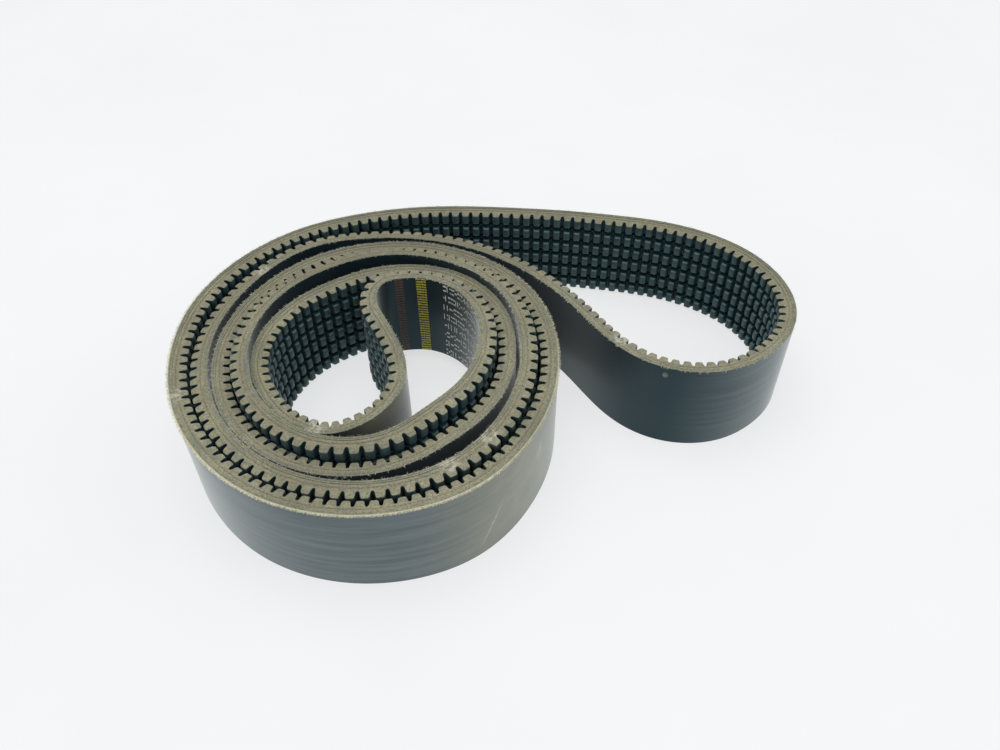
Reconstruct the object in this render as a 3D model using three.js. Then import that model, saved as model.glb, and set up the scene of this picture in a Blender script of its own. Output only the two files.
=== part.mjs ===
// A joined (banded) cogged V-belt with six ribs, standing on its edge and coiled up for storage.
// Millimetres, +Z up. The origin is the middle of the footprint, on the surface the belt stands on.
//
// The belt is one endless loop. Laid out as a coil it is a double spiral: an outward-facing ply
// winds inwards to the small inner loop, turns back there, and an inward-facing ply winds out
// again to the large open loop on the right. The ribs of the two plies face each other.
import * as THREE from 'three';

// ---------------------------------------------------------------- driving dimensions
const EFFECTIVE_LENGTH = 3352.8;      // 132 in, measured along the tops of the ribs
const RIB_COUNT = 6;
const RIB_PITCH = 10.3;
const RIB_TOP_WIDTH = 9.7;
const FLANK_ANGLE = 10;               // degrees, how far each flank of a rib leans in

// Thickness of each bonded layer, from the flat back to the tips of the ribs.
const COVER_THICKNESS = 1.2;
const TIE_PLY_THICKNESS = 0.9;
const TOP_GUM_THICKNESS = 1.0;
const CORD_LAYER_THICKNESS = 1.0;
const RIB_BODY_THICKNESS = 5.0;
const BOND_GAP = 0.3;                 // clearance that stands for each bond line

const BELT_WIDTH = RIB_COUNT * RIB_PITCH;
const TIE_PLY_INSET = 0.3;            // the inner ply stops just short of the cut edges

// Depth below the flat back at which each layer starts.
const TIE_PLY_DEPTH = COVER_THICKNESS + BOND_GAP;
const TOP_GUM_DEPTH = TIE_PLY_DEPTH + TIE_PLY_THICKNESS + BOND_GAP;
const CORD_LAYER_DEPTH = TOP_GUM_DEPTH + TOP_GUM_THICKNESS + BOND_GAP;
const RIB_BODY_DEPTH = CORD_LAYER_DEPTH + CORD_LAYER_THICKNESS + BOND_GAP;

// ---------------------------------------------------------------- how the coil lies
// The turns are given as radii of the flat back around the coil's centre, one every 30 degrees.
// The first and last radius of each ply only steer the curve.
const COIL_CENTRE = new THREE.Vector2(-67, -10);
const RADIUS_SPACING = 30;
const OUTWARD_PLY = {
  firstAngle: 30,
  radii: [
    229, 163, 141, 134, 128, 121.5, 119.3, 122, 124, 122, 112, 105.5,
    104.3, 102.7, 101.1, 99.5, 96, 95.3, 96.9, 100, 99.6, 90, 85, 81.2,
    81.6, 80.7, 75, 69.3, 69.9, 73, 75, 76,
  ],
};
const INWARD_PLY = {
  firstAngle: 0,
  radii: [
    137, 114.5, 107, 105.5, 109.5, 102, 98.5, 97.9, 100.6, 102.5, 98.5, 89,
    83.5, 82.9, 81.3, 79.6, 75.5, 74.2, 74, 75.6, 78.4, 77.4, 64.5, 61,
    59.9, 60.2, 59.2, 54,
  ],
};

// Angles between which each ply follows its radii, and the step between two sections.
const SECTION_STEP = 20;
const OUTWARD_RANGE = { from: 60, to: 920 };
const INWARD_RANGE = { from: 40, to: 760 };

// The inner part of the inward-facing ply rides up half a rib pitch against the ribs that face
// it, and its turned-back end rides up a little more. Each rise lies between two angles.
const INNER_RISE = { height: RIB_PITCH / 2, from: 300, to: 405 };
const MIDDLE_RISE = { height: 2, from: 660, to: 740 };
const FULL_LIFT = INNER_RISE.height + MIDDLE_RISE.height;

// The two open loops, as [x, y, share of the full lift], in the order the belt runs.
const INNER_LOOP = [
  [-119, -65, 0], [-103, -77, 0], [-85, -81, 0], [-66, -72, 0], [-53, -56, 0.1],
  [-48, -36, 0.3], [-54, -14, 0.6], [-65, 8, 0.9], [-71, 24, 1], [-67, 38, 1],
  [-53.5, 42.4, 1], [-38, 40.4, 1],
];
const INNER_LOOP_SECTIONS = 18;
const OPEN_LOOP = [
  [46, 29, 0], [60, 6, 0], [73, -13, 0], [90, -28, 0], [112, -36, 0], [136, -35, 0],
  [160, -23, 0], [178, -4, 0], [188, 26, 0], [180, 64, 0], [158, 91, 0], [126, 110, 0],
  [90, 120, 0], [52, 127, 0],
];
const OPEN_LOOP_SECTIONS = 17;
const FINE_DIVISIONS = 10;            // steps between sections when the length is measured

// ---------------------------------------------------------------- the path of the flat back
function smoothStep(value) {
  const t = THREE.MathUtils.clamp(value, 0, 1);
  return t * t * (3 - 2 * t);
}

// Radius of a ply at any angle: a Catmull-Rom curve through its radii.
function plyRadius(ply, angle) {
  const position = (angle - ply.firstAngle) / RADIUS_SPACING;
  const knot = Math.min(Math.floor(position), ply.radii.length - 3);
  const t = position - knot;
  const [before, from, to, after] = ply.radii.slice(knot - 1, knot + 3);
  const slopeFrom = (to - before) / 2;
  const slopeTo = (after - from) / 2;
  const cubic = 2 * (from - to) + slopeFrom + slopeTo;
  const square = 3 * (to - from) - 2 * slopeFrom - slopeTo;
  return ((cubic * t + square) * t + slopeFrom) * t + from;
}

function plyPoint(ply, angle, lift) {
  const radius = plyRadius(ply, angle);
  const radians = THREE.MathUtils.degToRad(angle);
  return new THREE.Vector3(
    COIL_CENTRE.x + radius * Math.cos(radians),
    COIL_CENTRE.y + radius * Math.sin(radians),
    lift,
  );
}

function outwardPoint(angle) {
  return plyPoint(OUTWARD_PLY, angle, 0);
}

function inwardPoint(angle) {
  const lift = [INNER_RISE, MIDDLE_RISE].reduce(
    (sum, { height, from, to }) => sum + height * smoothStep((angle - from) / (to - from)),
    0,
  );
  return plyPoint(INWARD_PLY, angle, lift);
}

function turnPoints(pointAt, from, to, step) {
  const count = Math.round(Math.abs(to - from) / step);
  return Array.from({ length: count + 1 }, (_, i) => pointAt(from + (to - from) * i / count));
}

// An open loop between two plies. The curve passes through the last two points of one ply and
// the first two of the next, so that it leaves and meets them along their own direction.
function loopPoints(before, shape, after, count) {
  const points = shape.map(([x, y, share]) => new THREE.Vector3(x, y, share * FULL_LIFT));
  const curve = new THREE.CatmullRomCurve3([...before, ...points, ...after]);
  const start = 1 / (curve.points.length - 1);
  const inside = Array.from({ length: count - 1 }, (_, i) => (i + 1) / count);
  return inside.map((t) => {
    const point = curve.getPoint(start + t * (1 - 2 * start));
    return point.setZ(THREE.MathUtils.clamp(point.z, 0, FULL_LIFT));
  });
}

function pathPoints(divisions) {
  const step = SECTION_STEP / divisions;
  const outward = turnPoints(outwardPoint, OUTWARD_RANGE.from, OUTWARD_RANGE.to, step);
  const inward = turnPoints(inwardPoint, INWARD_RANGE.to, INWARD_RANGE.from, step);
  const inner = loopPoints(
    [outwardPoint(OUTWARD_RANGE.to - SECTION_STEP), outward.at(-1)],
    INNER_LOOP,
    [inward[0], inwardPoint(INWARD_RANGE.to - SECTION_STEP)],
    INNER_LOOP_SECTIONS * divisions,
  );
  const open = loopPoints(
    [inwardPoint(INWARD_RANGE.from + SECTION_STEP), inward.at(-1)],
    OPEN_LOOP,
    [outward[0], outwardPoint(OUTWARD_RANGE.from + SECTION_STEP)],
    OPEN_LOOP_SECTIONS * divisions,
  );
  return [...outward, ...inner, ...inward, ...open];
}

// Sections across the belt: where each stands, which way its back faces, and how much further
// apart its layers are there, because each section is the mitre between two straight stretches.
function sectionsAlong(points) {
  return points.map((point, i) => {
    const previous = points.at(i - 1);
    const next = points[(i + 1) % points.length];
    const arriving = new THREE.Vector2(point.x - previous.x, point.y - previous.y).normalize();
    const leaving = new THREE.Vector2(next.x - point.x, next.y - point.y).normalize();
    const along = arriving.clone().add(leaving).normalize();
    return { point, back: new THREE.Vector2(along.y, -along.x), mitre: 1 / along.dot(leaving) };
  });
}

function loopLength(points, depth) {
  const inset = sectionsAlong(points).map(({ point, back, mitre }) => {
    const shift = depth * mitre;
    return new THREE.Vector2(point.x - back.x * shift, point.y - back.y * shift);
  });
  return inset.reduce((sum, point, i) => sum + point.distanceTo(inset.at(i - 1)), 0);
}

// The coil's outline is scaled in plan until the loop has the belt's effective length.
function beltSections() {
  const measured = pathPoints(FINE_DIVISIONS);
  const turnLoss = loopLength(measured, 0) - loopLength(measured, TOP_GUM_DEPTH);
  const scale = (EFFECTIVE_LENGTH + turnLoss) / loopLength(measured, 0);
  const points = pathPoints(1).map(({ x, y, z }) => new THREE.Vector3(x * scale, y * scale, z));
  const box = new THREE.Box3().setFromPoints(points);
  const middle = box.getCenter(new THREE.Vector3()).setZ(0);
  return sectionsAlong(points.map((point) => point.sub(middle)));
}

const SECTIONS = beltSections();

// ---------------------------------------------------------------- one layer of the belt
// A layer is swept once round the whole loop. Its four-cornered section is given by the depth
// and the lower and upper edge at its back side and at its rib side.
function sweptLayer(backSide, ribSide) {
  const corners = [
    [backSide.depth, backSide.low],
    [backSide.depth, backSide.high],
    [ribSide.depth, ribSide.high],
    [ribSide.depth, ribSide.low],
  ];
  const positions = SECTIONS.flatMap(({ point, back, mitre }) => corners.flatMap(([depth, z]) => [
    point.x - back.x * depth * mitre,
    point.y - back.y * depth * mitre,
    point.z + z,
  ]));
  const faces = SECTIONS.flatMap((_, i) => {
    const here = i * corners.length;
    const there = ((i + 1) % SECTIONS.length) * corners.length;
    return corners.flatMap((__, k) => {
      const after = (k + 1) % corners.length;
      return [here + k, there + k, there + after, here + k, there + after, here + after];
    });
  });
  const geometry = new THREE.BufferGeometry();
  geometry.setAttribute('position', new THREE.Float32BufferAttribute(positions, 3));
  geometry.setIndex(faces);
  geometry.computeVertexNormals();
  return geometry;
}

function namedMesh(name, geometry, color, roughness) {
  const material = new THREE.MeshStandardMaterial({ color, roughness, metalness: 0 });
  const mesh = new THREE.Mesh(geometry, material);
  mesh.name = name;
  return mesh;
}

// Layer of the tie band, across the whole width of the belt.
function bandLayer(depth, thickness, inset) {
  const edges = { low: inset, high: BELT_WIDTH - inset };
  return sweptLayer({ depth, ...edges }, { depth: depth + thickness, ...edges });
}

// Layer of one rib, which narrows along the V flanks.
function ribLayer(rib, depth, thickness) {
  const centre = (rib + 0.5) * RIB_PITCH;
  const taper = Math.tan(THREE.MathUtils.degToRad(FLANK_ANGLE));
  const edgesAt = (at) => {
    const halfWidth = RIB_TOP_WIDTH / 2 - (at - TOP_GUM_DEPTH) * taper;
    return { depth: at, low: centre - halfWidth, high: centre + halfWidth };
  };
  return sweptLayer(edgesAt(depth), edgesAt(depth + thickness));
}

// ---------------------------------------------------------------- the pieces
const tieBandCover = () => namedMesh(
  'tie_band_cover', bandLayer(0, COVER_THICKNESS, 0), 0x2b3138, 0.55,
);

const tieBandPly = () => namedMesh(
  'tie_band_ply', bandLayer(TIE_PLY_DEPTH, TIE_PLY_THICKNESS, TIE_PLY_INSET), 0x7d7f7a, 0.85,
);

const topGum = (rib) => namedMesh(
  `top_gum_${rib + 1}`, ribLayer(rib, TOP_GUM_DEPTH, TOP_GUM_THICKNESS), 0x8c8270, 0.9,
);

const cordLayer = (rib) => namedMesh(
  `cord_layer_${rib + 1}`, ribLayer(rib, CORD_LAYER_DEPTH, CORD_LAYER_THICKNESS), 0x6f5a45, 0.9,
);

const coggedRib = (rib) => namedMesh(
  `cogged_rib_${rib + 1}`, ribLayer(rib, RIB_BODY_DEPTH, RIB_BODY_THICKNESS), 0x34332f, 0.9,
);

const belt = new THREE.Group();
belt.name = 'joined_cogged_v_belt';
belt.add(tieBandCover(), tieBandPly());
for (let rib = 0; rib < RIB_COUNT; rib += 1) {
  belt.add(topGum(rib), cordLayer(rib), coggedRib(rib));
}

export default belt;
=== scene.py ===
"""A joined cogged V-belt with six ribs, coiled on its edge on a white table.

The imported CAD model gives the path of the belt, its width and its place. This script sweeps the
fine surface of every layer along that same path: the tie band, the gum, the cords, the cogged
ribs, the ink marks on the flat back and the loose fibres of the cut edge.
"""
import math
import random

import bmesh
import bpy
import numpy as np
from mathutils import Matrix, Vector


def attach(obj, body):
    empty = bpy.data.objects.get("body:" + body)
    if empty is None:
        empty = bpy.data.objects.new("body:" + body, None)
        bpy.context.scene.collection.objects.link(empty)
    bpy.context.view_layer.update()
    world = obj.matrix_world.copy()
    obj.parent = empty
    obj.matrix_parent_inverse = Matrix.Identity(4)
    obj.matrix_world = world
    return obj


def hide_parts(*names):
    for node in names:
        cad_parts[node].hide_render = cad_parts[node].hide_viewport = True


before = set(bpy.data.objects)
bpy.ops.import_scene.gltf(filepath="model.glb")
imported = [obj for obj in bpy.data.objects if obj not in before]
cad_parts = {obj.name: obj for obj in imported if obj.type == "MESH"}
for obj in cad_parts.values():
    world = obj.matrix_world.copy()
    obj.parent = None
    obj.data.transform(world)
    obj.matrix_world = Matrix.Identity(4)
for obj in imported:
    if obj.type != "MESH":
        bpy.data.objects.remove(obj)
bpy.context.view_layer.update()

# ------------------------------------------------------------------ sizes, in metres
MM = 0.001
BODY = "root"
RIB_COUNT = 6
COG_COUNT = 460
RIB_TOP_WIDTH = 9.7 * MM
FLANK_ANGLE = math.radians(10)    # how far each flank of a rib leans in
THICKNESS = 10.3 * MM
COVER_DEPTH = 1.25 * MM           # where the outer skin of the tie band ends
PLY_DEPTH = 2.45 * MM             # where its inner ply ends and the ribs start
GUM_DEPTH = 3.75 * MM
CORD_DEPTH = 4.85 * MM
SEAM = 0.02 * MM                  # hairline between two bonded layers

CAMERA_PLACE = Vector((0.005281, -0.375977, 0.395140))
CAMERA_PITCH = math.radians(44.6587)  # below the horizon
CAMERA_ROLL = math.radians(-0.3952)
CAMERA_LENS = 30.06                   # on a 36 mm wide sensor


# ------------------------------------------------------------------ the path of the flat back
def crease_loops(node):
    """The closed loops of points along the top edge of a CAD ring, on its back and rib sides."""
    work = bmesh.new()
    work.from_mesh(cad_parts[node].data)
    bmesh.ops.remove_doubles(work, verts=work.verts, dist=0.01 * MM)
    work.normal_update()
    neighbours = {}
    for edge in work.edges:
        ups = sorted(face.normal.z for face in edge.link_faces)
        if len(ups) == 2 and ups[0] < 0.5 < ups[1]:
            a, b = edge.verts
            neighbours.setdefault(a, []).append(b)
            neighbours.setdefault(b, []).append(a)
    loops = []
    while neighbours:
        start = next(iter(neighbours))
        loop, here = [start], start
        while True:
            onward = [v for v in neighbours.pop(here) if v in neighbours and v not in loop[-2:]]
            if not onward:
                break
            here = onward[0]
            loop.append(here)
        loops.append(np.array([v.co[:] for v in loop]))
    work.free()
    return loops


def closed_length(points):
    return np.linalg.norm(np.roll(points, -1, axis=0) - points, axis=1).sum()


def signed_area(points):
    x, y = points[:, 0], points[:, 1]
    return 0.5 * float((x * np.roll(y, -1) - np.roll(x, -1) * y).sum())


class BeltPath:
    """A smooth closed curve through the back edge of the tie band, with even arc length."""

    SAMPLES = 24000
    START = (-0.030, 0.096)       # at the rear, where two turns lie back to back and out of sight
    NEUTRAL_DEPTH = 4.3 * MM      # the cords, whose length doesn't change when the belt bends

    def __init__(self, points):
        if signed_area(points) < 0:
            points = points[::-1]
        away = np.hypot(points[:, 0] - self.START[0], points[:, 1] - self.START[1])
        points = np.roll(points, -int(np.argmin(away)), axis=0)
        self.width = float(points[:, 2].min())
        knots = np.concatenate([[0.0], np.cumsum(np.linalg.norm(
            np.roll(points, -1, axis=0) - points, axis=1))])
        second = self._second_derivatives(points, np.diff(knots))
        at = np.linspace(0.0, knots[-1], self.SAMPLES, endpoint=False)
        place = self._evaluate(points, knots, second, at)
        step = np.roll(place, -1, axis=0) - np.roll(place, 1, axis=0)
        flat = step[:, :2] / np.linalg.norm(step[:, :2], axis=1)[:, None]
        self.place = place
        self.back = np.stack([flat[:, 1], -flat[:, 0]], axis=1)
        cords = place[:, :2] - self.back * self.NEUTRAL_DEPTH
        stride = np.linalg.norm(np.roll(cords, -1, axis=0) - cords, axis=1)
        self.along = np.concatenate([[0.0], np.cumsum(stride)])
        self.length = float(self.along[-1])

    @staticmethod
    def _second_derivatives(points, gaps):
        count = len(points)
        system = np.zeros((count, count))
        right = np.zeros_like(points)
        for i in range(count):
            before, after = gaps[i - 1], gaps[i]
            nxt = (i + 1) % count
            system[i, i - 1] = before
            system[i, i] = 2 * (before + after)
            system[i, nxt] = after
            right[i] = 6 * ((points[nxt] - points[i]) / after - (points[i] - points[i - 1]) / before)
        return np.linalg.solve(system, right)

    @staticmethod
    def _evaluate(points, knots, second, at):
        i = np.clip(np.searchsorted(knots, at, side="right") - 1, 0, len(points) - 1)
        nxt = (i + 1) % len(points)
        gap = (knots[i + 1] - knots[i])[:, None]
        b = (at - knots[i])[:, None] / gap
        a = 1 - b
        bend = (a ** 3 - a) * second[i] + (b ** 3 - b) * second[nxt]
        return a * points[i] + b * points[nxt] + bend * gap ** 2 / 6

    def sections(self, at):
        """Place (x, y, foot height) and back direction at distances along the cords."""
        at = np.mod(np.asarray(at, float), self.length)
        wrapped_place = np.vstack([self.place, self.place[:1]])
        wrapped_back = np.vstack([self.back, self.back[:1]])
        place = np.stack([np.interp(at, self.along, wrapped_place[:, k]) for k in range(3)], axis=1)
        back = np.stack([np.interp(at, self.along, wrapped_back[:, k]) for k in range(2)], axis=1)
        place[:, 2] -= self.width
        return place, back

    def nearest(self, x, y):
        """Distance along the belt of the point of the flat back nearest to a place in plan."""
        i = int(np.argmin(np.hypot(self.place[:, 0] - x, self.place[:, 1] - y)))
        return float(self.along[i])


back_loop = max(crease_loops("tie_band_cover"), key=closed_length)
path = BeltPath(back_loop)
RIB_PITCH = path.width / RIB_COUNT
COG_PITCH = path.length / COG_COUNT


# ------------------------------------------------------------------ meshes
def add_mesh(name, vertices, faces, materials, face_materials=None, smooth_under=35):
    mesh = bpy.data.meshes.new(name)
    mesh.from_pydata(vertices.tolist(), [], faces.tolist())
    for material in materials:
        mesh.materials.append(material)
    if face_materials is not None:
        mesh.polygons.foreach_set("material_index", np.asarray(face_materials, np.int32))
    mesh.shade_smooth()
    mesh.set_sharp_from_angle(angle=math.radians(smooth_under))
    mesh.update()
    piece = bpy.data.objects.new(name, mesh)
    bpy.context.scene.collection.objects.link(piece)
    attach(piece, BODY)
    return piece


def place_points(at, depth, height):
    """World points for arrays of distance along the belt, depth below the back and height on it."""
    place, back = path.sections(at)
    xy = place[:, :2] - back * depth[:, None]
    return np.column_stack([xy, place[:, 2] + height])


def store(mesh, name, values):
    layer = mesh.attributes.new(name, "FLOAT", "POINT")
    layer.data.foreach_set("value", np.asarray(values, np.float32))


def swept_ring(name, at, depths, heights, materials, corner_materials=None, smooth_under=35):
    """One closed ring. depths and heights hold one section per station: (stations, corners)."""
    stations, corners = depths.shape
    flat_at = np.repeat(at, corners)
    points = place_points(flat_at, depths.ravel(), heights.ravel())
    i, k = np.meshgrid(np.arange(stations), np.arange(corners), indexing="ij")
    here, there = i * corners, ((i + 1) % stations) * corners
    after = (k + 1) % corners
    faces = np.stack([here + k, there + k, there + after, here + after], axis=-1).reshape(-1, 4)
    face_materials = None
    if corner_materials is not None:
        face_materials = np.tile(corner_materials, stations)
    piece = add_mesh(name, points, faces, materials, face_materials, smooth_under)
    store(piece.data, "belt_along", flat_at)
    store(piece.data, "belt_depth", depths.ravel())
    store(piece.data, "belt_height", heights.ravel())
    return piece


def even_stations(spacing):
    count = int(round(path.length / spacing))
    return np.arange(count) * (path.length / count)


def rib_half_width(depth):
    """Half of a rib's width at a depth below the flat back; its flanks lean in."""
    return RIB_TOP_WIDTH / 2 - (depth - PLY_DEPTH) * math.tan(FLANK_ANGLE)


# ------------------------------------------------------------------ procedural materials
def linear(red, green, blue):
    """A colour given as it looks on screen, from 0 to 255, as shader values."""
    def channel(value):
        value /= 255
        return value / 12.92 if value <= 0.04045 else ((value + 0.055) / 1.055) ** 2.4
    return (channel(red), channel(green), channel(blue), 1.0)


class Shader:
    """A material with one Principled shader and short helpers that wire nodes into it."""

    def __init__(self, name, roughness, specular=0.5, tint=(1.0, 1.0, 1.0, 1.0)):
        self.material = bpy.data.materials.new(name)
        self.material.use_nodes = True
        self.tree = self.material.node_tree
        self.principled = self.tree.nodes["Principled BSDF"]
        self.principled.inputs["Roughness"].default_value = roughness
        self.principled.inputs["Specular IOR Level"].default_value = specular
        self.principled.inputs["Specular Tint"].default_value = tint
        self.coordinates = self.node("ShaderNodeTexCoord").outputs["Object"]

    def node(self, kind, **settings):
        made = self.tree.nodes.new(kind)
        for key, value in settings.items():
            setattr(made, key, value)
        return made

    def link(self, source, target):
        self.tree.links.new(source, target)

    def noise(self, scale, detail=4.0, roughness=0.6, vector=None):
        made = self.node("ShaderNodeTexNoise")
        made.inputs["Scale"].default_value = scale
        made.inputs["Detail"].default_value = detail
        made.inputs["Roughness"].default_value = roughness
        self.link(vector or self.coordinates, made.inputs["Vector"])
        return made.outputs["Fac"]

    def belt(self, name):
        """How far along the belt, how deep below its back or how high up a point is."""
        return self.node("ShaderNodeAttribute", attribute_name=name).outputs["Fac"]

    def rearward(self):
        """How far back a point is, along Y."""
        parts = self.node("ShaderNodeSeparateXYZ")
        self.link(self.coordinates, parts.inputs["Vector"])
        return parts.outputs["Y"]

    def upward(self):
        """1 where the surface looks straight up, 0 where it's upright."""
        parts = self.node("ShaderNodeSeparateXYZ")
        self.link(self.node("ShaderNodeNewGeometry").outputs["Normal"], parts.inputs["Vector"])
        return parts.outputs["Z"]

    def belt_vector(self, along_scale, height_scale, depth_scale=0.0):
        """A pattern's coordinates that follow the belt, each stretched by its own scale."""
        made = self.node("ShaderNodeCombineXYZ")
        parts = (("belt_along", along_scale), ("belt_height", height_scale), ("belt_depth", depth_scale))
        for socket, (name, scale) in zip(made.inputs, parts):
            self.link(self.math("MULTIPLY", self.belt(name), scale), socket)
        return made.outputs["Vector"]

    def math(self, operation, a, b=0.0):
        made = self.node("ShaderNodeMath", operation=operation)
        for socket, value in zip(made.inputs, (a, b)):
            if isinstance(value, (int, float)):
                socket.default_value = value
            else:
                self.link(value, socket)
        return made.outputs["Value"]

    def ramp(self, value, low, high, to_low=0.0, to_high=1.0):
        """A smooth step from to_low, where value is low, to to_high, where it's high."""
        made = self.node("ShaderNodeMapRange", clamp=True)
        made.interpolation_type = "SMOOTHSTEP"
        for key, number in (("From Min", low), ("From Max", high),
                            ("To Min", to_low), ("To Max", to_high)):
            made.inputs[key].default_value = number
        self.link(value, made.inputs["Value"])
        return made.outputs["Result"]

    def mix(self, factor, a, b):
        """Colour a where factor is 0 and colour b where it's 1."""
        made = self.node("ShaderNodeMix", data_type="RGBA")
        factor_in, color_a, color_b = (made.inputs[i] for i in (0, 6, 7))
        for socket, value in ((factor_in, factor), (color_a, a), (color_b, b)):
            if isinstance(value, (int, float, tuple)):
                socket.default_value = value
            else:
                self.link(value, socket)
        return made.outputs[2]

    def bump(self, height, strength, distance, below=None):
        made = self.node("ShaderNodeBump")
        made.inputs["Strength"].default_value = strength
        made.inputs["Distance"].default_value = distance
        self.link(height, made.inputs["Height"])
        if below is not None:
            self.link(below, made.inputs["Normal"])
        return made.outputs["Normal"]

    def finish(self, color, roughness=None, normal=None):
        """Wires what the helpers made into the shader and gives the material."""
        for value, key in ((color, "Base Color"), (roughness, "Roughness"), (normal, "Normal")):
            if value is not None:
                self.link(value, self.principled.inputs[key])
        return self.material


COOL_GLOSS = (0.45, 0.85, 1.0, 1.0)    # the rubber's gloss is bluish where it faces the eye

# Stretches and marks of the belt, placed in plan (metres) and by height above its lower edge.
FRONT_DUST_AND_SHEEN = ((-0.1870, -0.0200), (0.0342, -0.0508))   # ends of the front of the outer turn, pale with dust and with painted sheen
BROWN_DUST_START = (0.0050, -0.1080)                   # from here to its right end it's brownish with dust, lightened as painted sheen
STRETCH_FADE = 60 * MM
STREAK = ((-0.0049, -0.1170, 8 * MM), (0.0067, -0.1069, 34 * MM))   # one long rub, low to high
BACK_RUBS = (                     # x, y, height, half length along the belt, half height
    (0.1008, -0.0334, 55.7 * MM, 2.0 * MM, 2.6 * MM),
    (0.0274, -0.0764, 40.0 * MM, 5.0 * MM, 8 * MM),
)
BULB_PAINTED_SHEEN = ((0.1500, -0.0240), (0.1870, 0.0300))      # ends of a stretch of the open loop with painted sheen as a pale grey
LOOP_DUST = ((-0.0600, -0.0680), (-0.0480, -0.0100))   # ends of a dusty stretch of the inner loop
EDGE_SCUFFS = (                   # x, y, radius, on the cut edges that face up
    (-0.1779, -0.0527, 7 * MM), (-0.1320, -0.0542, 5 * MM), (-0.0932, -0.0794, 6 * MM),
    (-0.0623, -0.0895, 5 * MM), (0.0001, -0.0846, 6 * MM), (-0.0214, -0.1034, 6 * MM),
    (-0.0943, -0.0742, 5 * MM), (0.0771, -0.0082, 6 * MM), (-0.1500, 0.0600, 6 * MM),
    (0.1200, 0.0750, 7 * MM), (0.0200, 0.1150, 6 * MM), (-0.0700, 0.0700, 5 * MM),
)


def add_masks(s, masks):
    total = masks[0]
    for mask in masks[1:]:
        total = s.math("MAXIMUM", total, mask)
    return total


def rub_mask(s, x, y, height, half_along, half_height, lean=0.0):
    """1 on a rubbed oval of the flat back, falling to 0 at its rim."""
    up = s.math("SUBTRACT", s.belt("belt_height"), height)
    along = s.math("SUBTRACT", s.belt("belt_along"), path.nearest(x, y))
    along = s.math("SUBTRACT", along, s.math("MULTIPLY", up, lean))
    u = s.math("DIVIDE", along, half_along)
    v = s.math("DIVIDE", up, half_height)
    reach = s.math("SQRT", s.math("ADD", s.math("MULTIPLY", u, u), s.math("MULTIPLY", v, v)))
    return s.ramp(reach, 0.25, 1.0, 1.0, 0.0)


def streak_mask(s):
    """1 along the long rub that leans up the front of the outer turn."""
    (x_low, y_low, low), (x_high, y_high, high) = STREAK
    run = path.nearest(x_high, y_high) - path.nearest(x_low, y_low)
    lean = run / (high - low)
    middle = 0.5 * (low + high)
    x_mid, y_mid = 0.5 * (x_low + x_high), 0.5 * (y_low + y_high)
    return rub_mask(s, x_mid, y_mid, middle, 1.5 * MM, 0.75 * (high - low), lean)


def scuff_mask(s, x, y, radius):
    """1 on a scuffed patch of the upper edges, falling to 0 at its rim."""
    away = s.node("ShaderNodeVectorMath", operation="DISTANCE")
    s.link(s.coordinates, away.inputs[0])
    away.inputs[1].default_value = (x, y, path.width)
    return s.ramp(away.outputs["Value"], 0.4 * radius, 1.3 * radius, 1.0, 0.0)


def stretch_mask(s, one_end, other_end, fade):
    """1 on the belt between two places in plan, falling to 0 within fade outside them."""
    start, end = sorted(path.nearest(*place) for place in (one_end, other_end))
    along = s.belt("belt_along")
    rise = s.ramp(along, start - fade, start)
    return s.math("MULTIPLY", rise, s.ramp(along, end, end + fade, 1.0, 0.0))


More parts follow.
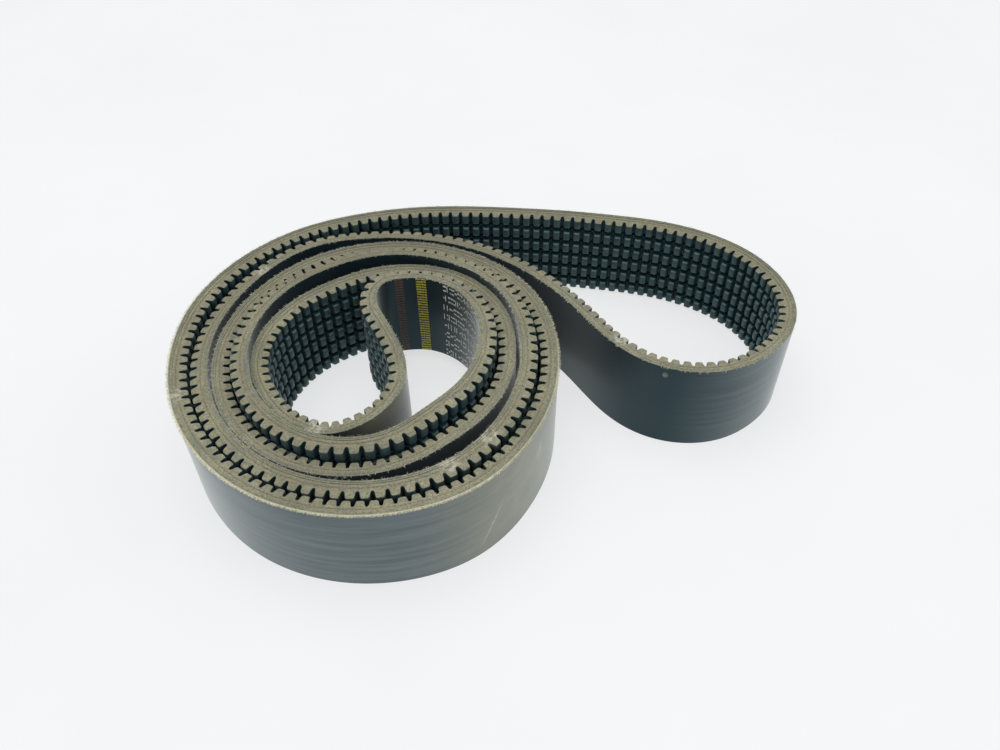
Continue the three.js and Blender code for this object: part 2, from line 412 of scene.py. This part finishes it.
def back_material():
    """The flat back: satin blue-black rubber with a fine fabric print, dusty on the outer turn, with
    painted sheen as a pale grey on its front and on a stretch of the open loop.
    """
    s = Shader("back_rubber", roughness=0.42, specular=0.36, tint=COOL_GLOSS)
    s.principled.inputs["Sheen Weight"].default_value = 0.55
    s.principled.inputs["Sheen Roughness"].default_value = 0.36
    s.principled.inputs["Sheen Tint"].default_value = (0.93, 0.97, 0.95, 1.0)
    clouds = s.noise(11, detail=4)
    strokes = s.noise(1, detail=5, vector=s.belt_vector(14, 320))
    weave = s.noise(1, detail=2, vector=s.belt_vector(1500, 1500))
    color = s.mix(s.ramp(clouds, 0.3, 0.75), linear(4, 20, 27), linear(20, 36, 42))
    # Dust and painted sheen: the front of the outer turn is mixed towards a pale grey that stands for
    # dust and for the grazing sheen of the bright table on it.
    front = stretch_mask(s, *FRONT_DUST_AND_SHEEN, STRETCH_FADE)
    front_dust_and_sheen = s.math("MULTIPLY", front, s.ramp(strokes, 0.3, 0.75, 0.5, 1.0))
    dust_and_sheen_grey = linear(104, 113, 115)
    color = s.mix(s.math("MULTIPLY", front_dust_and_sheen, 0.8), color, dust_and_sheen_grey)
    # Painted sheen: a stretch of the open loop is lightened towards the same pale grey.
    bulb = stretch_mask(s, *BULB_PAINTED_SHEEN, 50 * MM)
    bulb_painted_sheen = s.math("MULTIPLY", bulb, s.ramp(strokes, 0.3, 0.75, 0.25, 0.5))
    color = s.mix(bulb_painted_sheen, color, dust_and_sheen_grey)
    # Brown dust on the right end of the front and on a stretch of the inner loop; its light tone is also
    # painted sheen on the right end of the front.
    brown = stretch_mask(s, BROWN_DUST_START, FRONT_DUST_AND_SHEEN[1], STRETCH_FADE)
    loop = stretch_mask(s, *LOOP_DUST, 30 * MM)
    patch = s.ramp(s.noise(26, detail=6, roughness=0.65), 0.25, 0.75, 0.45, 1.0)
    brown_dust_and_sheen = s.math("MULTIPLY", s.math("MAXIMUM", brown, loop), patch)
    color = s.mix(s.math("MULTIPLY", brown_dust_and_sheen, 0.65), color, linear(142, 138, 114))
    rubs = [streak_mask(s)] + [rub_mask(s, *rub) for rub in BACK_RUBS]
    broken = s.ramp(s.noise(420, detail=4, roughness=0.7), 0.3, 0.65, 0.1, 0.6)
    rubbed = s.math("MULTIPLY", add_masks(s, rubs), broken)
    color = s.mix(rubbed, color, linear(168, 170, 160))
    color = s.mix(s.ramp(weave, 0.55, 0.8, 0.0, 0.12), color, linear(96, 104, 102))
    rough = s.math("ADD", s.ramp(clouds, 0.3, 0.7, 0.30, 0.42), s.math("MULTIPLY", front_dust_and_sheen, 0.1))
    grain = s.bump(weave, 0.22, 0.05 * MM)
    normal = s.bump(strokes, 0.10, 0.15 * MM, below=grain)
    return s.finish(color, rough, normal)


def cut_edge_material(name, base, dust, rim=False):
    """Cut rubber at the edges: matte, speckled with ground-off fibre, with fine cutting lines."""
    s = Shader(name, roughness=0.85, specular=0.25)
    speckle = s.noise(880, detail=5, roughness=0.8)
    mottle = s.noise(210, detail=5, roughness=0.65)
    patches = s.noise(16, detail=3)
    blotches = s.noise(1, detail=4, vector=s.belt_vector(38, 420, 420))
    lines = s.noise(1, detail=3, vector=s.belt_vector(40, 2300, 2300))
    dark = tuple(0.36 * c for c in base[:3]) + (1.0,)
    color = s.mix(s.ramp(mottle, 0.32, 0.68), base, dust)
    color = s.mix(s.ramp(blotches, 0.48, 0.66, 0.0, 0.6), color, linear(112, 116, 110))
    color = s.mix(s.ramp(patches, 0.35, 0.7, 0.0, 0.4), color, dark)
    color = s.mix(s.ramp(speckle, 0.44, 0.58, 0.0, 0.7), color, dark)
    color = s.mix(s.ramp(lines, 0.55, 0.78, 0.0, 0.10), color, linear(190, 184, 160))
    # Painted shade: the cut edges darken towards the rear, along Y.
    color = s.mix(s.ramp(s.rearward(), -0.02, 0.11, 0.0, 0.3), color, dark)
    scuffs = add_masks(s, [scuff_mask(s, *scuff) for scuff in EDGE_SCUFFS])
    broken = s.ramp(s.noise(330, detail=5, roughness=0.7), 0.42, 0.6, 0.0, 0.6)
    color = s.mix(s.math("MULTIPLY", scuffs, broken), color, linear(190, 188, 174))
    if rim:
        front = stretch_mask(s, *FRONT_DUST_AND_SHEEN, STRETCH_FADE)
        near_back = s.ramp(s.belt("belt_depth"), 0.15 * MM, 0.6 * MM, 1.0, 0.0)
        frayed = s.math("MULTIPLY", near_back, s.ramp(speckle, 0.35, 0.6, 0.2, 0.9))
        color = s.mix(s.math("MULTIPLY", front, frayed), color, linear(214, 208, 170))
    normal = s.bump(speckle, 0.5, 0.12 * MM)
    return s.finish(color, None, normal)


def rib_material():
    """Moulded charcoal rubber of the ribs, greyer with dust on the crests of the cogs, and with a
    painted highlight on the crest corners that face up.
    """
    s = Shader("rib_rubber", roughness=0.42, specular=0.34, tint=COOL_GLOSS)
    s.principled.inputs["Sheen Weight"].default_value = 0.06
    depth = s.belt("belt_depth")
    fine = s.noise(900, detail=4)
    mottle = s.noise(150, detail=4)
    crest = s.ramp(depth, THICKNESS - 1.5 * MM, THICKNESS - 0.3 * MM)
    dust = s.math("MULTIPLY", crest, s.ramp(mottle, 0.3, 0.7, 0.3, 1.0))
    color = s.mix(s.ramp(fine, 0.3, 0.7), linear(7, 30, 34), linear(30, 56, 60))
    color = s.mix(s.math("MULTIPLY", dust, 0.5), color, linear(76, 90, 88))
    # Painted highlight: crest faces that look up are lightened, as if lit from above.
    painted_top_highlight = s.math("MULTIPLY", crest, s.ramp(s.upward(), 0.2, 0.7, 0.0, 0.75))
    color = s.mix(painted_top_highlight, color, linear(104, 118, 114))
    scuffs = add_masks(s, [scuff_mask(s, *scuff) for scuff in EDGE_SCUFFS])
    broken = s.ramp(mottle, 0.42, 0.58, 0.0, 0.8)
    color = s.mix(s.math("MULTIPLY", scuffs, broken), color, linear(132, 132, 122))
    return s.finish(color, None, s.bump(fine, 0.35, 0.1 * MM))


def ink_material(name, color, cover):
    """Printed ink, broken up where it didn't take on the grain."""
    s = Shader(name, roughness=0.6, specular=0.3)
    breaks = s.noise(1400, detail=3, roughness=0.7)
    return s.finish(s.mix(s.ramp(breaks, cover, cover + 0.2), color, linear(14, 28, 34)))


back_rubber = back_material()
tan_edge = cut_edge_material("cut_edge", linear(153, 149, 123), linear(134, 133, 111))
cover_edge = cut_edge_material("cover_edge", linear(132, 133, 113), linear(143, 141, 119), rim=True)
ply_edge = cut_edge_material("ply_edge", linear(136, 136, 115), linear(145, 142, 119))
rib_rubber = rib_material()
cord_fibre = cut_edge_material("cord_fibre", linear(134, 123, 99), linear(143, 137, 112))
fibre_fluff = cut_edge_material("fibre_fluff", linear(236, 231, 206), linear(216, 211, 186))
ink_yellow = ink_material("ink_yellow", linear(184, 174, 58), 0.48)
ink_brown = ink_material("ink_brown", linear(84, 64, 50), 0.50)
ink_light = ink_material("ink_light", linear(206, 210, 200), 0.50)


# ------------------------------------------------------------------ layers of the belt
def band_layer(name, near, far, edge, skin, cad_node):
    """One layer of the tie band: skin on its faces, cut rubber on its two edges."""
    at = even_stations(1.6 * MM)
    round_off = 0.18 * MM
    rng = np.random.default_rng(len(name))
    ragged = rng.normal(0, 0.03 * MM, (len(at), 2))
    top = path.width
    rows = [
        (near, round_off), (near, top * 0.25), (near, top * 0.5), (near, top * 0.75),
        (near, top - round_off), (near + round_off, top), (far, top),
        (far, 0.0), (near + round_off, 0.0),
    ]
    depths = np.tile([row[0] for row in rows], (len(at), 1))
    heights = np.tile([row[1] for row in rows], (len(at), 1))
    heights[:, 5:7] += np.minimum(ragged[:, :1], 0)
    corner_materials = [0, 0, 0, 0, 1, 1, 0, 1, 1]
    piece = swept_ring(name, at, depths, heights, [skin, edge], corner_materials)
    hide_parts(cad_node)
    return piece


def rib_layer(name, rib, near, far, cad_node, core):
    """A plain layer of one rib; its flanks are cut rubber on the two outermost ribs."""
    at = even_stations(2.4 * MM)
    centre = (rib + 0.5) * RIB_PITCH
    rows = [
        (near, centre - rib_half_width(near)), (near, centre + rib_half_width(near)),
        (far, centre + rib_half_width(far)), (far, centre - rib_half_width(far)),
    ]
    depths = np.tile([row[0] for row in rows], (len(at), 1))
    heights = np.tile([row[1] for row in rows], (len(at), 1))
    flank_low = 1 if rib == 0 else 0
    flank_high = 1 if rib == RIB_COUNT - 1 else 0
    piece = swept_ring(name, at, depths, heights, [core, tan_edge], [0, flank_high, 0, flank_low])
    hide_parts(cad_node)
    return piece


# Half of one notch, as (distance from its middle, depth below the back), in millimetres.
NOTCH_PROFILE = [
    (0.00, 6.20), (0.42, 6.30), (0.78, 6.62), (1.02, 7.20), (1.18, 8.10),
    (1.32, 9.05), (1.52, 9.70), (1.85, 10.12), (2.35, 10.30),
]
NOTCH_ROOT = NOTCH_PROFILE[0][1] * MM
CREST_ROUND = 1.25 * MM           # radius of the moulded corners along each rib
CUT_ROUND = 0.5 * MM              # of the corners where the belt was cut to width


def cog_stations():
    """Distances along the belt, depths of the cog surface there and how many belong to one cog."""
    half = [(x * MM, d * MM) for x, d in NOTCH_PROFILE]
    one = half + [(COG_PITCH / 2, THICKNESS)] + [(COG_PITCH - x, d) for x, d in half[:0:-1]]
    offsets = np.array([x for x, _ in one])
    depth = np.array([d for _, d in one])
    starts = np.arange(COG_COUNT)[:, None] * COG_PITCH
    return (starts + offsets).ravel(), np.tile(depth, COG_COUNT), len(one)


def cogged_rib(rib):
    """One compression rib with all its cogs, each moulded a little differently."""
    at, crest, per_cog = cog_stations()
    rng = np.random.default_rng(40 + rib)
    shift = np.repeat(rng.normal(0, 0.05 * MM, COG_COUNT), per_cog)
    crest = crest + shift * (crest - NOTCH_ROOT) / (THICKNESS - NOTCH_ROOT)
    near = CORD_DEPTH + SEAM
    centre = (rib + 0.5) * RIB_PITCH
    flank_low = 1 if rib == 0 else 0
    flank_high = 1 if rib == RIB_COUNT - 1 else 0
    root = np.full_like(crest, near)
    half = np.full_like(crest, rib_half_width(near))
    depth_rows, height_rows = [root, root], [-half, half]
    for side, cut in ((1, flank_high), (-1, flank_low)):
        corner = np.minimum(CUT_ROUND if cut else CREST_ROUND, 0.7 * (crest - near))
        bevel = corner * (1 - math.cos(math.pi / 4))
        tip = rib_half_width(crest)
        rows = [(crest - corner, rib_half_width(crest - corner)),
                (crest - bevel, tip - bevel), (crest, tip - corner)]
        for depth, reach in rows[::side]:
            depth_rows.append(depth)
            height_rows.append(side * reach)
    depths = np.stack(depth_rows, axis=1)
    heights = centre + np.stack(height_rows, axis=1)
    corner_materials = [0, flank_high, flank_high, 0, 0, 0, flank_low, flank_low]
    piece = swept_ring(f"cogged_rib_fine_{rib + 1}", at, depths, heights,
                       [rib_rubber, tan_edge], corner_materials, smooth_under=55)
    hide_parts(f"cogged_rib_{rib + 1}")
    return piece


band_layer("tie_band_cover_fine", 0.0, COVER_DEPTH - SEAM, cover_edge, back_rubber,
           "tie_band_cover")
band_layer("tie_band_ply_fine", COVER_DEPTH, PLY_DEPTH - SEAM, ply_edge, rib_rubber,
           "tie_band_ply")
for rib_index in range(RIB_COUNT):
    label = rib_index + 1
    rib_layer(f"top_gum_fine_{label}", rib_index, PLY_DEPTH, GUM_DEPTH - SEAM,
              f"top_gum_{label}", rib_rubber)
    rib_layer(f"cord_layer_fine_{label}", rib_index, GUM_DEPTH, CORD_DEPTH,
              f"cord_layer_{label}", rib_rubber)
    cogged_rib(rib_index)


# ------------------------------------------------------------------ cord shown in the cut edges
CORD_MIDDLE = 0.5 * (GUM_DEPTH + CORD_DEPTH)
FLANK_DROP = 0.5 * RIB_PITCH - rib_half_width(CORD_MIDDLE)


def edge_cord(name, height, lean):
    """The strand that the cut laid bare in one edge: two yarns twisted together."""
    at = even_stations(0.55 * MM)
    sides = 6
    twist_pitch = 2.6 * MM
    radius = 0.22 * MM
    around = np.arange(sides) * (math.tau / sides)
    phase = at * (math.tau / twist_pitch)
    swell = radius * (1 + 0.35 * np.cos(2 * (around[None, :] - phase[:, None] / 2)))
    depths = CORD_MIDDLE + swell * 1.3 * np.sin(around)
    heights = height + swell * np.cos(around) * lean
    piece = swept_ring(name, at, depths, heights, [cord_fibre], smooth_under=80)
    return piece


edge_cord("edge_cord_upper", path.width - FLANK_DROP, 1)
edge_cord("edge_cord_lower", FLANK_DROP, -1)


# ------------------------------------------------------------------ ink on the flat back
def ink_patches(name, patches, material):
    """Thin ink marks as (start along, end along, low, high) on the flat back."""
    lift = 0.03 * MM
    vertices, faces = [], []
    for start, end, low, high in patches:
        columns = max(2, int(abs(end - start) / (0.8 * MM)) + 2)
        at = np.linspace(start, end, columns)
        first = len(vertices)
        for depth in (-lift, lift):
            for height in (low, high):
                vertices.extend(place_points(at, np.full(columns, depth), np.full(columns, height)))
        rows = [first + r * columns for r in range(4)]
        for c in range(columns - 1):
            faces.append((rows[0] + c, rows[0] + c + 1, rows[1] + c + 1, rows[1] + c))
            faces.append((rows[2] + c, rows[3] + c, rows[3] + c + 1, rows[2] + c + 1))
            faces.append((rows[0] + c, rows[2] + c, rows[2] + c + 1, rows[0] + c + 1))
            faces.append((rows[1] + c, rows[1] + c + 1, rows[3] + c + 1, rows[3] + c))
        last = columns - 1
        faces.append((rows[0], rows[1], rows[3], rows[2]))
        faces.append((rows[0] + last, rows[2] + last, rows[3] + last, rows[1] + last))
    piece = add_mesh(name, np.array(vertices), np.array(faces), [material])
    return piece


def ladder_stripe(start, width, rows, fill, columns, rng):
    """A stripe across the belt made of short printed bars, row above row."""
    pitch = path.width / rows
    span = width / columns
    patches = []
    for row in range(rows):
        low = (row + 0.5 - fill / 2) * pitch
        edge = start
        for _ in range(columns):
            skip = rng.uniform(0.06, 0.16) * span
            tall = fill * pitch * rng.uniform(0.8, 1.0)
            patches.append((edge, edge + span - skip, low, low + tall))
            edge += span
    return patches


def dash_rows(start, length, rows, rng):
    """Rows of plain dashes and dots along the belt, which stand for its printed size line."""
    pitch = path.width / rows
    tall = 0.60 * pitch
    patches = []
    for row in range(rows):
        low = (row + 0.5) * pitch - tall / 2
        at = start + rng.uniform(0, 0.8) * MM
        while at < start + length:
            width = rng.choice((0.9, 1.4, 2.0, 2.6)) * MM
            kind = rng.random()
            if kind < 0.35:
                patches.append((at, at + width, low, low + 0.22 * tall))
                patches.append((at, at + width, low + 0.72 * tall, low + tall))
            elif kind < 0.7:
                patches.append((at, at + 0.7 * MM, low, low + tall))
            else:
                patches.append((at, at + width, low + 0.38 * tall, low + 0.66 * tall))
            at += width + rng.uniform(0.5, 0.9) * MM
    return patches


# The marks are on the inner turn, where its flat back faces the middle of the coil.
MARK_PLACE = (-0.0475, 0.0435)
STRIPE_ROWS = 30
DASH_ROWS = 8
ink_rng = random.Random(7)
mark_middle = path.nearest(*MARK_PLACE)
yellow_bars = ladder_stripe(mark_middle, 7.6 * MM, STRIPE_ROWS, 0.62, 4, ink_rng)
ink_patches("ink_stripe_yellow", yellow_bars, ink_yellow)
brown_bars = ladder_stripe(mark_middle - 15 * MM, 6.5 * MM, STRIPE_ROWS, 0.7, 2, ink_rng)
ink_patches("ink_stripe_brown", brown_bars, ink_brown)
light_dashes = dash_rows(mark_middle + 20 * MM, 62 * MM, DASH_ROWS, ink_rng)
ink_patches("ink_dashes", light_dashes, ink_light)


# ------------------------------------------------------------------ loose fibres of the cut edge
FIBRE_FRONT = (-0.070, -0.133)    # the foremost place of the coil, in plan
FIBRE_SPREAD = 170 * MM


def edge_fibres(name, count, seed):
    """Short fibres that stand out of the upper edge of the flat back, thickest on the front."""
    rng = random.Random(seed)
    front = path.nearest(*FIBRE_FRONT)
    at, depth, height, faces = [], [], [], []
    for i in range(count):
        near_front = i % 4 != 0
        where = rng.gauss(front, FIBRE_SPREAD) if near_front else rng.uniform(0, path.length)
        reach = rng.uniform(0.3, 1.6) * MM
        thick = rng.uniform(0.06, 0.12) * MM
        slide = rng.uniform(-0.9, 0.9) * MM
        root_height = path.width - rng.uniform(0.0, 0.4) * MM
        rise = rng.uniform(-0.2, 0.35) * MM
        first = len(at)
        for step in (0.0, 0.5, 1.0):
            bow = math.sin(step * math.pi) * 0.15 * MM
            size = thick * (1 - 0.6 * step)
            for corner in range(3):
                turn = corner * math.tau / 3
                at.append(where + slide * step + size * math.cos(turn))
                depth.append(0.1 * MM - reach * step - bow)
                height.append(root_height + rise * step + size * math.sin(turn))
        for level in (0, 3):
            for corner in range(3):
                after = (corner + 1) % 3
                faces.append((first + level + corner, first + level + after,
                              first + level + 3 + after, first + level + 3 + corner))
    points = place_points(np.array(at), np.array(depth), np.array(height))
    piece = add_mesh(name, points, np.array(faces), [fibre_fluff])
    return piece


edge_fibres("edge_fibres", 8000, 11)


# ------------------------------------------------------------------ table, light and camera
TABLE_GLOW = (0.655, 0.665, 0.67, 1.0)


def white_table():
    """A lit white table: most of its brightness is its own, so shadows on it stay faint."""
    bpy.ops.mesh.primitive_plane_add(size=8, location=(0, 0, 0))
    table = bpy.context.object
    table.name = "white_table"
    s = Shader("white_table", roughness=0.9, specular=0.04)
    s.principled.inputs["Emission Color"].default_value = TABLE_GLOW
    s.principled.inputs["Emission Strength"].default_value = 1.0
    table.data.materials.append(s.finish(
        s.mix(s.ramp(s.noise(3), 0.3, 0.7), linear(120, 121, 121), linear(126, 127, 127)),
        None, s.bump(s.noise(220, detail=2), 0.05, 0.2 * MM)))


def soft_light(name, place, size, power, target=(0, 0, 0.02)):
    data = bpy.data.lights.new(name, "AREA")
    data.shape = "DISK"
    data.size = size
    data.energy = power
    light = bpy.data.objects.new(name, data)
    light.location = place
    light.rotation_euler = (Vector(target) - Vector(place)).to_track_quat("-Z", "Y").to_euler()
    bpy.context.scene.collection.objects.link(light)


def studio():
    world = bpy.data.worlds.new("studio")
    world.use_nodes = True
    background = world.node_tree.nodes["Background"]
    background.inputs["Color"].default_value = (0.98, 0.99, 1.0, 1.0)
    background.inputs["Strength"].default_value = 0.86
    bpy.context.scene.world = world
    soft_light("overhead", (-0.2, 0.1, 1.7), 1.6, 15)
    soft_light("side", (1.3, -0.5, 0.9), 0.9, 3)
    scene = bpy.context.scene
    scene.view_settings.view_transform = "Standard"
    scene.view_settings.look = "None"


def photo_camera():
    data = bpy.data.cameras.new("photo_camera")
    data.sensor_width = 36
    data.lens = CAMERA_LENS
    data.clip_start = 0.01
    camera = bpy.data.objects.new("photo_camera", data)
    tilt = Matrix.Rotation(math.pi / 2 - CAMERA_PITCH, 4, "X")
    roll = Matrix.Rotation(CAMERA_ROLL, 4, "Z")
    camera.matrix_world = Matrix.Translation(CAMERA_PLACE) @ tilt @ roll
    bpy.context.scene.collection.objects.link(camera)
    bpy.context.scene.camera = camera


white_table()
studio()
photo_camera()
